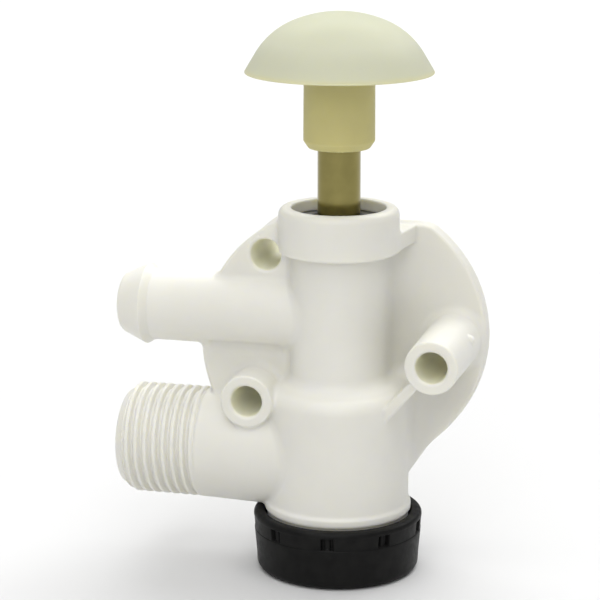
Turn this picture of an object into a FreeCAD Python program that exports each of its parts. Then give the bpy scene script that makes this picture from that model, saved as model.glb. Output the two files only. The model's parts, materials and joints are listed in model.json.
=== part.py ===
import FreeCAD, Part
import math
import os
from FreeCAD import Base

# Push-button water valve: a moulded body with a flange, a threaded inlet and a hose barb, a brass
# spindle with a mushroom button on top, and a screw cap underneath.
# Millimetres. Z is the spindle axis and points up, -X is the side of the two pipes, +Y is the back,
# where the flange is screwed down. The origin is on the spindle axis at the foot of the screw cap.

# Gaps: radial play of the spindle in its bush, play of pieces that stay put, and the spring's ends.
# A cutter runs PAST the face that it opens, and NEAR tells a face's own edges from the others.
FIT = 0.05
FIXED_FIT = 0.02
SPRING_END_GAP = 0.02
PAST = 1.0
NEAR = 0.01

# Lower body, neck and collar, all round the Z axis
BODY_R = 13.4
BODY_FOOT_Z = 3.6
BEAD_R = 14.1
BEAD_FOOT_Z = 11.6
BEAD_TOP_Z = 13.2
BEAD_EDGE = 0.5
SHOULDER_Z = 32.9
SHOULDER_R = 3.1
SHOULDER_ARC_DEG = 80
NECK_R = 9.0
NECK_Z = 36.9
COLLAR_R = 11.25
COLLAR_Z = 61.3
COLLAR_TOP_Z = 69.75
COLLAR_EDGE_R = 1.4
COLLAR_MOUTH_CHAMFER = 0.35

# Water ways
CHAMBER_R = 10.2
CHAMBER_TOP_Z = 31.4
SEAT_R = 6.2
SEAT_LIP_R = 7.4
SEAT_Z = 30.6
UPPER_CHAMBER_TOP_Z = 56.0

# Flange: a round plate, thin on the right of the neck and cored out on the left of it
FLANGE_R = 26.2
FLANGE_Z = 43.2
FLANGE_BACK_Y = 15.0
FLANGE_FACE_Y = 11.2
FLANGE_EDGE_R = 0.8
FLANGE_FLAT_TOP_Z = 64.8
BLOCK_FACE_Y = -2.4
WALL = 2.6
TONGUE_TOP_HALF = 15.6
TONGUE_FOOT_HALF = 10.0
TONGUE_TOP_Z = 22.2
TONGUE_FOOT_Z = 13.8
WEB_HALF = 9.4
FLANGE_FILLET_R = 5.0
BRIDGE_FACE_HALF = 12.6
BRIDGE_FOOT_Z = 61.5
BRIDGE_COLLAR_OVERLAP = 0.2
CORE_HALF = 6.0
CORE_LOW_Z = 37.5
CORE_HIGH_Z = 57.0
CORE_FLOOR_Y = 9.4

# Inlet pipe with its outside thread, along -X
INLET_Z = 22.45
INLET_END_X = -41.8
INLET_BORE_R = 7.2
THREAD_CREST_R = 10.57
THREAD_ROOT_R = 9.75
THREAD_PITCH = 1.814
THREAD_CRESTS = 8
THREAD_FIRST_X = -39.35
THREAD_CREST_WIDTH = 0.5
THREAD_ROOT_WIDTH = 0.35
THREAD_RUN_IN = 0.1
INLET_NOSE_R = 8.8
INLET_BASE_R = 10.9
INLET_BASE_X = -14.0

# Hose barb, along -X
HOSE_Z = 49.08
HOSE_R = 6.82
HOSE_BORE_R = 4.6
HOSE_END_X = -42.2
HOSE_NOSE_R = 5.4
HOSE_NOSE_EDGE = 0.5
BARB_R = 7.7
BARB_X = -37.1
BARB_BACK_X = -35.7
BARB_EDGE = 0.1
BARB_EDGE_LENGTH = 0.5

# Screw holes along Y: centre X, centre Z, Y of the front end, and the radius of the boss
HOLE_R = 2.95
BOSS_R = 5.0
HOLES = [(20.0, 42.9, -11.0), (-15.3, 33.7, -9.8), (-13.5, 60.3, BLOCK_FACE_Y)]

# Rib from the right boss down to the shoulder
RIB_THICK = 1.9
RIB_BOSS = (20.0, 42.9)
RIB_BODY = (8.5, 29.9)
RIB_FRONT_Y_BOSS = -9.6
RIB_FRONT_Y_BODY = -5.4

# Gland in the collar, from the ledge up
LEDGE_Z = 57.2
LEDGE_R = 4.6
BUSH_BORE_R = 6.4
RECESS_R = 8.75
RECESS_Z = 62.4
O_RING_SECTION_R = 1.17
O_RING_TOP_Z = 59.6
BUSH_FLANGE_R = 8.55
BUSH_FLANGE_TOP_Z = 63.6
SEAL_TOP_Z = 65.6
SEAL_HEEL_WIDTH = 1.2
SEAL_LIP_WIDTH = 0.9
SEAL_FLOOR = 0.9
SEAL_DRAFT = 0.7
SEAL_LIP_EDGE = 0.5
GLAND_WASHER_TOP_Z = 66.4
WASHER_BORE_GAP = 0.4
WASHER_RIM_GAP = 0.1
RING_TOP_Z = 67.4
RING_GROOVE_R = 9.6
RING_OUTER_R = 9.5
RING_INNER_R = 6.9
RING_GAP_HALF_ANGLE = 14.0
RING_GAP_DIRECTION = 205.0
RING_LUG_R = 1.25
RING_LUG_HOLE_R = 0.5

# Spindle and button
SPINDLE_R = 4.0
SPINDLE_TOP_Z = 98.0
SPINDLE_SHOULDER_Z = 31.6
SPINDLE_TAIL_R = 2.5
SPINDLE_TAIL_Z = 19.6
SPINDLE_EDGE = 0.5
SPINDLE_TAIL_EDGE = 0.4
HUB_R = 6.62
HUB_FOOT_Z = 80.75
HUB_TOP_Z = 104.0
HUB_CHAMFER = 0.95
HUB_CHAMFER_HEIGHT = 1.4
DOME_TOP_Z = 105.75
DOME_CROWN_R = 22.4
DOME_CROWN_ANGLE = 0.40
DOME_SIDE_R = 14.4
DOME_SIDE_ANGLE = 1.06
DOME_RIM_Z = 94.6
DOME_RIM_R = 17.55
DOME_THICK = 2.0
DOME_RIM_EDGE = 0.5

# Valve disc stack on the spindle's tail, from the shoulder down
CLAMP_WASHER_R = 5.2
CLAMP_WASHER_Z = 30.55
DISC_R = 8.6
DISC_Z = 28.0
HOLDER_R = 9.2
HOLDER_RIM_Z = 29.5
HOLDER_FLOOR_Z = 26.4
HOLDER_SPIGOT_R = 5.1
HOLDER_SPIGOT_Z = 24.9
LOCK_WASHER_R = 4.4
LOCK_WASHER_Z = 23.9
LOCK_WASHER_BORE_GAP = 0.1
LOCK_WASHER_SLIT = 0.5
NUT_ACROSS_FLATS = 8.0
NUT_Z = 19.9

# Return spring
SPRING_MEAN_R = 6.0
SPRING_WIRE_R = 0.65
SPRING_TURNS = 8

# Screw cap and its gasket
CAP_TOP_Z = 11.4
CAP_R = 16.1
CAP_FOOT_R = 15.3
CAP_EDGE_R = 0.9
CAP_FOOT_EDGE_R = 1.5
CAP_FLOOR_Z = 2.6
CAP_MOUTH_R = 14.0
CAP_MOUTH_Z = 10.2
CAP_MOUTH_SLOPE = 0.8
SCREW_R = 13.1
SCREW_TOP_Z = 9.8
SCREW_GAP = 0.1
PILLAR_R = 4.6
PILLAR_TOP_Z = 12.1
PILLAR_EDGE = 0.6
NOTCHES = 9
NOTCH_WIDTH = 2.0
NOTCH_HEIGHT = 2.6
NOTCH_DEPTH = 1.0
NOTCH_FIRST_ANGLE = -83.1
GASKET_INNER_R = 9.6
GASKET_OUTER_R = 12.9

X_AXIS = Base.Vector(1, 0, 0)
Y_AXIS = Base.Vector(0, 1, 0)
Z_AXIS = Base.Vector(0, 0, 1)


def cylinder_z(radius, low, high):
    return Part.makeCylinder(radius, high - low, Base.Vector(0, 0, low), Z_AXIS)


def cylinder_x(radius, low, high, z):
    return Part.makeCylinder(radius, high - low, Base.Vector(low, 0, z), X_AXIS)


def cylinder_y(radius, low, high, x, z):
    return Part.makeCylinder(radius, high - low, Base.Vector(x, low, z), Y_AXIS)


def box(x0, x1, y0, y1, z0, z1):
    return Part.makeBox(x1 - x0, y1 - y0, z1 - z0, Base.Vector(x0, y0, z0))


def turned(outline):
    """Solid turned round the Z axis. The outline is a closed list of (radius, z) points; a pair of
    points in a list stands for an arc through the first to the second."""
    edges = []
    here = Base.Vector(outline[0][0], 0, outline[0][1])
    for item in outline[1:] + [outline[0]]:
        if isinstance(item, list):
            middle = Base.Vector(item[0][0], 0, item[0][1])
            end = Base.Vector(item[1][0], 0, item[1][1])
            edges.append(Part.Arc(here, middle, end).toShape())
        else:
            end = Base.Vector(item[0], 0, item[1])
            edges.append(Part.LineSegment(here, end).toShape())
        here = end
    face = Part.Face(Part.Wire(edges))
    return face.revolve(Base.Vector(0, 0, 0), Z_AXIS, 360)


def turned_along_x(outline, z):
    """Solid turned round a line along X at height z, from (x, radius) points."""
    points = [Base.Vector(x, 0, z + radius) for x, radius in outline]
    points.append(points[0])
    face = Part.Face(Part.makePolygon(points))
    return face.revolve(Base.Vector(0, 0, z), X_AXIS, 360)


def corner_arc(centre_r, centre_z, radius, start_deg, end_deg):
    """Arc item for turned(): from the current point, round the centre, to the end angle."""
    middle = math.radians((start_deg + end_deg) / 2)
    end = math.radians(end_deg)
    return [(centre_r + radius * math.cos(middle), centre_z + radius * math.sin(middle)),
            (centre_r + radius * math.cos(end), centre_z + radius * math.sin(end))]


def body_column():
    """Lower body with its bead above the cap, shoulder, neck and collar, still solid."""
    corner_r = BODY_R - SHOULDER_R
    return turned([
        (0, BODY_FOOT_Z), (SCREW_R, BODY_FOOT_Z), (SCREW_R, SCREW_TOP_Z),
        (BODY_R, SCREW_TOP_Z), (BODY_R, BEAD_FOOT_Z), (BEAD_R - BEAD_EDGE, BEAD_FOOT_Z),
        (BEAD_R, BEAD_FOOT_Z + BEAD_EDGE), (BEAD_R, BEAD_TOP_Z - BEAD_EDGE),
        (BEAD_R - BEAD_EDGE, BEAD_TOP_Z), (BODY_R, BEAD_TOP_Z), (BODY_R, SHOULDER_Z),
        corner_arc(corner_r, SHOULDER_Z, SHOULDER_R, 0, SHOULDER_ARC_DEG),
        (NECK_R, NECK_Z), (NECK_R, COLLAR_Z),
        (COLLAR_R, COLLAR_Z), (COLLAR_R, COLLAR_TOP_Z - COLLAR_EDGE_R),
        corner_arc(COLLAR_R - COLLAR_EDGE_R, COLLAR_TOP_Z - COLLAR_EDGE_R, COLLAR_EDGE_R, 0, 90),
        (0, COLLAR_TOP_Z)])


def tongue(front_y):
    """Lower end of the flange's outline, from a front face to the flange's back."""
    corners = [(-TONGUE_TOP_HALF, TONGUE_TOP_Z), (-TONGUE_FOOT_HALF, TONGUE_FOOT_Z),
               (TONGUE_FOOT_HALF, TONGUE_FOOT_Z), (TONGUE_TOP_HALF, TONGUE_TOP_Z),
               (0, FLANGE_Z)]
    points = [Base.Vector(x, front_y, z) for x, z in corners]
    points.append(points[0])
    return Part.Face(Part.makePolygon(points)).extrude(Y_AXIS * (FLANGE_BACK_Y - front_y))


def flange_plate():
    """Thin round plate with its flat top edge and the tongue behind the lower body."""
    disc = cylinder_y(FLANGE_R, FLANGE_FACE_Y, FLANGE_BACK_Y, 0, FLANGE_Z)
    front_edges = [e for e in disc.Edges if e.BoundBox.YMax < FLANGE_FACE_Y + NEAR]
    disc = disc.makeFillet(FLANGE_EDGE_R, front_edges)
    disc = disc.cut(box(-FLANGE_R, FLANGE_R, FLANGE_FACE_Y - PAST, FLANGE_BACK_Y + PAST,
                        FLANGE_FLAT_TOP_Z, COLLAR_TOP_Z + PAST))
    return disc.fuse(tongue(FLANGE_FACE_Y))


def left_block():
    """Thick left part of the flange."""
    drum = cylinder_y(FLANGE_R, BLOCK_FACE_Y, FLANGE_BACK_Y, 0, FLANGE_Z)
    front_edges = [e for e in drum.Edges if e.BoundBox.YMax < BLOCK_FACE_Y + NEAR]
    drum = drum.makeFillet(FLANGE_EDGE_R, front_edges)
    left = box(-FLANGE_R - PAST, 0, BLOCK_FACE_Y - PAST, FLANGE_BACK_Y + PAST, INLET_Z, COLLAR_TOP_Z)
    behind_collar = box(-COLLAR_R, PAST, 0, FLANGE_BACK_Y + PAST, FLANGE_FLAT_TOP_Z, COLLAR_TOP_Z + PAST)
    return drum.common(left).cut(behind_collar)


def left_core():
    """Hollow of the left block, open at the back, round the pipes and bosses that run through it."""
    hollow = cylinder_y(FLANGE_R - WALL, BLOCK_FACE_Y + WALL, FLANGE_BACK_Y + PAST, 0, FLANGE_Z)
    side = box(-FLANGE_R, -WEB_HALF - WALL, BLOCK_FACE_Y, FLANGE_BACK_Y + 2 * PAST,
               INLET_Z, COLLAR_TOP_Z)
    hollow = hollow.common(side)
    hollow = hollow.cut(cylinder_x(HOSE_R, -FLANGE_R - PAST, 0, HOSE_Z))
    hollow = hollow.cut(cylinder_x(INLET_BASE_R, -FLANGE_R - PAST, 0, INLET_Z))
    for x, z, _ in HOLES:
        hollow = hollow.cut(cylinder_y(BOSS_R, BLOCK_FACE_Y, FLANGE_BACK_Y + 2 * PAST, x, z))
    return hollow


def flange_fillet(side_x, low, high):
    """Concave fillet on the right, between a web's side and the flange."""
    centre_x = side_x + FLANGE_FILLET_R
    centre_y = FLANGE_FACE_Y - FLANGE_FILLET_R
    block = box(side_x - PAST, centre_x, centre_y, FLANGE_FACE_Y + PAST, low, high)
    scoop = cylinder_z(FLANGE_FILLET_R, low - PAST, high + PAST)
    scoop.translate(Base.Vector(centre_x, centre_y, 0))
    return block.cut(scoop)


def lower_web():
    """Web from the lower body back to the flange, inside the flange's outline."""
    outline = cylinder_y(FLANGE_R, 0, FLANGE_BACK_Y, 0, FLANGE_Z).fuse(tongue(0))
    web = box(-BODY_R, BODY_R, 0, FLANGE_FACE_Y + PAST, TONGUE_FOOT_Z, SHOULDER_Z)
    web = web.fuse(flange_fillet(BODY_R, TONGUE_FOOT_Z, SHOULDER_Z))
    return web.common(outline)


def web_and_bridge():
    """Web from the neck back to the flange, and the bridge from the collar to the flange."""
    web = box(-WEB_HALF, WEB_HALF, 0, FLANGE_FACE_Y + PAST, SHOULDER_Z, BRIDGE_FOOT_Z + PAST)
    web = web.fuse(flange_fillet(WEB_HALF, SHOULDER_Z, BRIDGE_FOOT_Z))
    corners = [(-COLLAR_R + BRIDGE_COLLAR_OVERLAP, 0), (-BRIDGE_FACE_HALF, FLANGE_FACE_Y + PAST),
               (BRIDGE_FACE_HALF, FLANGE_FACE_Y + PAST), (COLLAR_R - BRIDGE_COLLAR_OVERLAP, 0)]
    points = [Base.Vector(x, y, BRIDGE_FOOT_Z) for x, y in corners]
    points.append(points[0])
    bridge = Part.Face(Part.makePolygon(points)).extrude(Z_AXIS * (FLANGE_FLAT_TOP_Z - BRIDGE_FOOT_Z))
    return web.fuse(bridge)


def threaded_inlet():
    """Outside of the inlet pipe: chamfered nose, thread grooves as rings, and the drafted base."""
    outline = [(INLET_END_X, 0), (INLET_END_X, INLET_NOSE_R)]
    half = THREAD_CREST_WIDTH / 2
    flank = (THREAD_PITCH - THREAD_CREST_WIDTH - THREAD_ROOT_WIDTH) / 2
    outline.append((THREAD_FIRST_X - half - 2 * flank, THREAD_ROOT_R + THREAD_RUN_IN))
    for k in range(THREAD_CRESTS):
        crest = THREAD_FIRST_X + k * THREAD_PITCH
        outline.append((crest - half - flank, THREAD_ROOT_R))
        outline.append((crest - half, THREAD_CREST_R))
        outline.append((crest + half, THREAD_CREST_R))
        outline.append((crest + half + flank, THREAD_ROOT_R))
    end = THREAD_FIRST_X + (THREAD_CRESTS - 1) * THREAD_PITCH + half + 2 * flank
    outline.append((end, THREAD_CREST_R))
    outline.append((INLET_BASE_X, INLET_BASE_R))
    outline.append((-PAST, INLET_BASE_R))
    outline.append((-PAST, 0))
    return turned_along_x(outline, INLET_Z)


def hose_barb():
    """Outside of the hose barb."""
    outline = [(HOSE_END_X, 0), (HOSE_END_X, HOSE_NOSE_R - HOSE_NOSE_EDGE),
               (HOSE_END_X + HOSE_NOSE_EDGE, HOSE_NOSE_R),
               (BARB_X - BARB_EDGE_LENGTH, BARB_R - BARB_EDGE), (BARB_X, BARB_R),
               (BARB_BACK_X, HOSE_R), (-PAST, HOSE_R), (-PAST, 0)]
    return turned_along_x(outline, HOSE_Z)


def gusset_rib():
    """Flat rib from the right boss down to the shoulder, with a sloping front edge."""
    start = Base.Vector(RIB_BODY[0], 0, RIB_BODY[1])
    end = Base.Vector(RIB_BOSS[0], 0, RIB_BOSS[1])
    along = end - start
    across = along.cross(Y_AXIS)
    across.normalize()
    offset = across * (-RIB_THICK / 2)
    back = Y_AXIS * (FLANGE_FACE_Y + PAST)
    corners = [start + Y_AXIS * RIB_FRONT_Y_BODY, end + Y_AXIS * RIB_FRONT_Y_BOSS,
               end + back, start + back]
    points = [corner + offset for corner in corners]
    points.append(points[0])
    return Part.Face(Part.makePolygon(points)).extrude(across * RIB_THICK)


def water_ways():
    """Everything bored out of the body: chambers, pipes, gland recess and ring groove."""
    seat_ring = cylinder_z(SEAT_LIP_R, SEAT_Z, CHAMBER_TOP_Z)
    lower = cylinder_z(CHAMBER_R, BODY_FOOT_Z - PAST, CHAMBER_TOP_Z).cut(seat_ring)
    mouth = turned([
        (0, RECESS_Z), (RECESS_R, RECESS_Z), (RECESS_R, COLLAR_TOP_Z - COLLAR_MOUTH_CHAMFER),
        (RECESS_R + COLLAR_MOUTH_CHAMFER, COLLAR_TOP_Z),
        (RECESS_R + COLLAR_MOUTH_CHAMFER, COLLAR_TOP_Z + PAST), (0, COLLAR_TOP_Z + PAST)])
    bores = [
        cylinder_z(SEAT_R, SEAT_Z - PAST, UPPER_CHAMBER_TOP_Z),
        cylinder_z(LEDGE_R, UPPER_CHAMBER_TOP_Z - PAST, LEDGE_Z + PAST),
        cylinder_z(BUSH_BORE_R, LEDGE_Z, RECESS_Z + PAST),
        mouth,
        cylinder_z(RING_GROOVE_R, GLAND_WASHER_TOP_Z, RING_TOP_Z),
        cylinder_x(INLET_BORE_R, INLET_END_X - PAST, -CHAMBER_R + 2 * PAST, INLET_Z),
        cylinder_x(HOSE_BORE_R, HOSE_END_X - PAST, 0, HOSE_Z)]
    return lower.multiFuse(bores)


def valve_body():
    pieces = [flange_plate(), left_block(), lower_web(), web_and_bridge(), threaded_inlet(), hose_barb()]
    for x, z, front in HOLES[:2]:
        pieces.append(cylinder_y(BOSS_R, front, FLANGE_BACK_Y, x, z))
    pieces.append(gusset_rib())
    body = body_column().multiFuse(pieces)
    back_core = box(-CORE_HALF, CORE_HALF, CORE_FLOOR_Y, FLANGE_BACK_Y + PAST,
                    CORE_LOW_Z, CORE_HIGH_Z)
    holes = [cylinder_y(HOLE_R, front - PAST, FLANGE_BACK_Y + PAST, x, z) for x, z, front in HOLES]
    for cutter in [left_core(), back_core, water_ways()] + holes:
        body = body.cut(cutter)
    return body.removeSplitter()


def guide_bush():
    inner = SPINDLE_R + FIT
    outer = BUSH_BORE_R - FIXED_FIT
    return turned([
        (inner, O_RING_TOP_Z), (outer, O_RING_TOP_Z), (outer, RECESS_Z),
        (BUSH_FLANGE_R, RECESS_Z), (BUSH_FLANGE_R, BUSH_FLANGE_TOP_Z), (inner, BUSH_FLANGE_TOP_Z)])


def stem_o_ring():
    centre_r = (BUSH_BORE_R + SPINDLE_R) / 2
    centre_z = (LEDGE_Z + O_RING_TOP_Z) / 2
    return Part.makeTorus(centre_r, O_RING_SECTION_R, Base.Vector(0, 0, centre_z), Z_AXIS)


def stem_seal():
    """Lip seal: a heel against the recess wall, a lip that leans on the spindle, a groove between."""
    inner = SPINDLE_R + FIT
    outer = RECESS_R - FIXED_FIT
    foot = BUSH_FLANGE_TOP_Z
    heel = outer - SEAL_HEEL_WIDTH
    lip = inner + SEAL_LIP_WIDTH
    return turned([
        (lip, foot), (outer, foot), (outer, SEAL_TOP_Z), (heel, SEAL_TOP_Z),
        (heel - SEAL_DRAFT, foot + SEAL_FLOOR), (lip + SEAL_DRAFT, foot + SEAL_FLOOR),
        (lip, SEAL_TOP_Z), (inner, SEAL_TOP_Z - SEAL_LIP_EDGE)])


def gland_washer():
    inner = SPINDLE_R + WASHER_BORE_GAP
    outer = RECESS_R - WASHER_RIM_GAP
    return cylinder_z(outer, SEAL_TOP_Z, GLAND_WASHER_TOP_Z).cut(
        cylinder_z(inner, SEAL_TOP_Z - PAST, GLAND_WASHER_TOP_Z + PAST))


def retaining_ring():
    """Snap ring in the collar's groove, with a gap and two lugs that pliers hold."""
    foot = GLAND_WASHER_TOP_Z + FIXED_FIT
    top = RING_TOP_Z - FIXED_FIT
    ring = cylinder_z(RING_OUTER_R, foot, top).cut(cylinder_z(RING_INNER_R, 0, COLLAR_TOP_Z))
    reach = 2 * RING_GROOVE_R
    left = math.radians(RING_GAP_DIRECTION + RING_GAP_HALF_ANGLE)
    right = math.radians(RING_GAP_DIRECTION - RING_GAP_HALF_ANGLE)
    wedge = [Base.Vector(0, 0, 0), Base.Vector(reach * math.cos(right), reach * math.sin(right), 0),
             Base.Vector(reach * math.cos(left), reach * math.sin(left), 0), Base.Vector(0, 0, 0)]
    ring = ring.cut(Part.Face(Part.makePolygon(wedge)).extrude(Z_AXIS * COLLAR_TOP_Z))
    lug_turn = math.degrees(RING_LUG_R / RING_INNER_R)
    for side in (-1, 1):
        angle = math.radians(RING_GAP_DIRECTION + side * (RING_GAP_HALF_ANGLE + lug_turn))
        place = Base.Vector(RING_INNER_R * math.cos(angle), RING_INNER_R * math.sin(angle), foot)
        lug = Part.makeCylinder(RING_LUG_R, top - foot, place, Z_AXIS)
        hole = Part.makeCylinder(RING_LUG_HOLE_R, top - foot, place, Z_AXIS)
        ring = ring.fuse(lug).cut(hole)
    return ring.removeSplitter()


def spindle():
    """Plain rod with a rounded top end and a thinner tail that carries the valve disc."""
    return turned([
        (0, SPINDLE_TAIL_Z), (SPINDLE_TAIL_R - SPINDLE_TAIL_EDGE, SPINDLE_TAIL_Z),
        (SPINDLE_TAIL_R, SPINDLE_TAIL_Z + SPINDLE_TAIL_EDGE), (SPINDLE_TAIL_R, SPINDLE_SHOULDER_Z),
        (SPINDLE_R, SPINDLE_SHOULDER_Z), (SPINDLE_R, SPINDLE_TOP_Z - SPINDLE_EDGE),
        (SPINDLE_R - SPINDLE_EDGE, SPINDLE_TOP_Z), (0, SPINDLE_TOP_Z)])


def dome_outline(thinner):
    """Crown arc, side arc and straight side of the button, moved inwards by a thickness."""
    crown = DOME_CROWN_R - thinner
    side = DOME_SIDE_R - thinner
    crown_z = DOME_TOP_Z - DOME_CROWN_R
    shift = DOME_CROWN_R - DOME_SIDE_R
    side_r = shift * math.sin(DOME_CROWN_ANGLE)
    side_z = crown_z + shift * math.cos(DOME_CROWN_ANGLE)

    def on(centre_r, centre_z, radius, angle):
        return (centre_r + radius * math.sin(angle), centre_z + radius * math.cos(angle))

    middle = (DOME_CROWN_ANGLE + DOME_SIDE_ANGLE) / 2
    return [on(0, crown_z, crown, 0),
            [on(0, crown_z, crown, DOME_CROWN_ANGLE / 2), on(0, crown_z, crown, DOME_CROWN_ANGLE)],
            [on(side_r, side_z, side, middle), on(side_r, side_z, side, DOME_SIDE_ANGLE)]]


def push_button():
    """Hollow mushroom head and its hub, one moulding, pressed on the spindle."""
    inner_rim_r = DOME_RIM_R - DOME_THICK
    outside = turned(dome_outline(0) + [
        (DOME_RIM_R, DOME_RIM_Z + DOME_RIM_EDGE), (DOME_RIM_R - DOME_RIM_EDGE, DOME_RIM_Z),
        (0, DOME_RIM_Z)])
    inside = turned(dome_outline(DOME_THICK) + [
        (inner_rim_r, DOME_RIM_Z), (inner_rim_r, DOME_RIM_Z - PAST), (0, DOME_RIM_Z - PAST)])
    hub = turned([
        (0, HUB_FOOT_Z), (HUB_R - HUB_CHAMFER, HUB_FOOT_Z), (HUB_R, HUB_FOOT_Z + HUB_CHAMFER_HEIGHT),
        (HUB_R, HUB_TOP_Z), (0, HUB_TOP_Z)])
    socket = cylinder_z(SPINDLE_R + FIXED_FIT, HUB_FOOT_Z - PAST, SPINDLE_TOP_Z + FIXED_FIT)
    return outside.cut(inside).fuse(hub).cut(socket).removeSplitter()


def clamp_washer():
    return cylinder_z(CLAMP_WASHER_R, CLAMP_WASHER_Z, SPINDLE_SHOULDER_Z).cut(
        cylinder_z(SPINDLE_TAIL_R + FIXED_FIT, CLAMP_WASHER_Z - PAST, SPINDLE_SHOULDER_Z + PAST))


def valve_disc():
    return cylinder_z(DISC_R, DISC_Z, CLAMP_WASHER_Z).cut(
        cylinder_z(SPINDLE_TAIL_R + FIXED_FIT, DISC_Z - PAST, CLAMP_WASHER_Z + PAST))


def disc_holder():
    """Cup that holds the valve disc, with a spigot below that centres the return spring."""
    inner = SPINDLE_TAIL_R + FIXED_FIT
    rim = DISC_R + FIXED_FIT
    return turned([
        (inner, HOLDER_SPIGOT_Z), (HOLDER_SPIGOT_R, HOLDER_SPIGOT_Z),
        (HOLDER_SPIGOT_R, HOLDER_FLOOR_Z), (HOLDER_R, HOLDER_FLOOR_Z), (HOLDER_R, HOLDER_RIM_Z),
        (rim, HOLDER_RIM_Z), (rim, DISC_Z), (inner, DISC_Z)])


def lock_washer():
    """Split spring washer."""
    ring = cylinder_z(LOCK_WASHER_R, LOCK_WASHER_Z, HOLDER_SPIGOT_Z).cut(
        cylinder_z(SPINDLE_TAIL_R + LOCK_WASHER_BORE_GAP, LOCK_WASHER_Z - PAST, HOLDER_SPIGOT_Z + PAST))
    slit = box(0, LOCK_WASHER_R + PAST, -LOCK_WASHER_SLIT / 2, LOCK_WASHER_SLIT / 2,
               LOCK_WASHER_Z - PAST, HOLDER_SPIGOT_Z + PAST)
    return ring.cut(slit)


def disc_nut():
    corner_r = NUT_ACROSS_FLATS / 2 / math.cos(math.pi / 6)
    points = [Base.Vector(corner_r * math.cos(k * math.pi / 3), corner_r * math.sin(k * math.pi / 3),
                          NUT_Z) for k in range(7)]
    height = LOCK_WASHER_Z - NUT_Z
    foot_r = NUT_ACROSS_FLATS / 2
    nut = Part.Face(Part.makePolygon(points)).extrude(Z_AXIS * height)
    cone = Part.makeCone(foot_r, foot_r + height, height, Base.Vector(0, 0, NUT_Z))
    return nut.common(cone).cut(cylinder_z(SPINDLE_TAIL_R + FIXED_FIT, 0, SPINDLE_SHOULDER_Z))


def return_spring():
    """Compression spring that stands on the cap's floor and lifts the disc holder."""
    low = CAP_FLOOR_Z + SPRING_WIRE_R + SPRING_END_GAP
    high = HOLDER_FLOOR_Z - SPRING_WIRE_R - SPRING_END_GAP
    height = high - low
    path = Part.makeHelix(height / SPRING_TURNS, height, SPRING_MEAN_R)
    section = Part.Wire(Part.makeCircle(SPRING_WIRE_R, Base.Vector(SPRING_MEAN_R, 0, 0), Y_AXIS))
    spring = Part.Wire(path).makePipeShell([section], True, True)
    spring.translate(Base.Vector(0, 0, low))
    return spring


def end_cap():
    """Screw cap with a floor, a spring pillar and grip notches round its upper edge."""
    edge_r = CAP_R - CAP_EDGE_R
    edge_z = CAP_TOP_Z - CAP_EDGE_R
    foot_r = CAP_FOOT_R - CAP_FOOT_EDGE_R
    bore = SCREW_R + SCREW_GAP
    cap = turned([
        (0, 0), (foot_r, 0),
        corner_arc(foot_r, CAP_FOOT_EDGE_R, CAP_FOOT_EDGE_R, -90, 0),
        (CAP_R, edge_z), corner_arc(edge_r, edge_z, CAP_EDGE_R, 0, 90),
        (CAP_MOUTH_R, CAP_TOP_Z), (CAP_MOUTH_R, CAP_MOUTH_Z), (bore, CAP_MOUTH_Z - CAP_MOUTH_SLOPE),
        (bore, CAP_FLOOR_Z), (PILLAR_R, CAP_FLOOR_Z), (PILLAR_R, PILLAR_TOP_Z - PILLAR_EDGE),
        (PILLAR_R - PILLAR_EDGE, PILLAR_TOP_Z), (0, PILLAR_TOP_Z)])
    for k in range(NOTCHES):
        notch = box(CAP_R - NOTCH_DEPTH, CAP_R + PAST, -NOTCH_WIDTH / 2, NOTCH_WIDTH / 2,
                    edge_z - NOTCH_HEIGHT, CAP_TOP_Z - CAP_EDGE_R / 2)
        notch.rotate(Base.Vector(0, 0, 0), Z_AXIS, NOTCH_FIRST_ANGLE + k * 360 / NOTCHES)
        cap = cap.cut(notch)
    return cap


def end_cap_gasket():
    return cylinder_z(GASKET_OUTER_R, CAP_FLOOR_Z, BODY_FOOT_Z).cut(
        cylinder_z(GASKET_INNER_R, CAP_FLOOR_Z - PAST, BODY_FOOT_Z + PAST))


SUB_PARTS = [
    valve_body, guide_bush, stem_o_ring, stem_seal, gland_washer, retaining_ring,
    spindle, push_button, clamp_washer, valve_disc, disc_holder, lock_washer, disc_nut,
    return_spring, end_cap, end_cap_gasket]

os.makedirs("parts", exist_ok=True)
for make in SUB_PARTS:
    shape = make()
    name = make.__name__
    print(name, shape.isValid(), len(shape.Solids), round(shape.Volume, 1))
    shape.exportStep("parts/" + name + ".step")
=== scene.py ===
import json
import math

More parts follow.
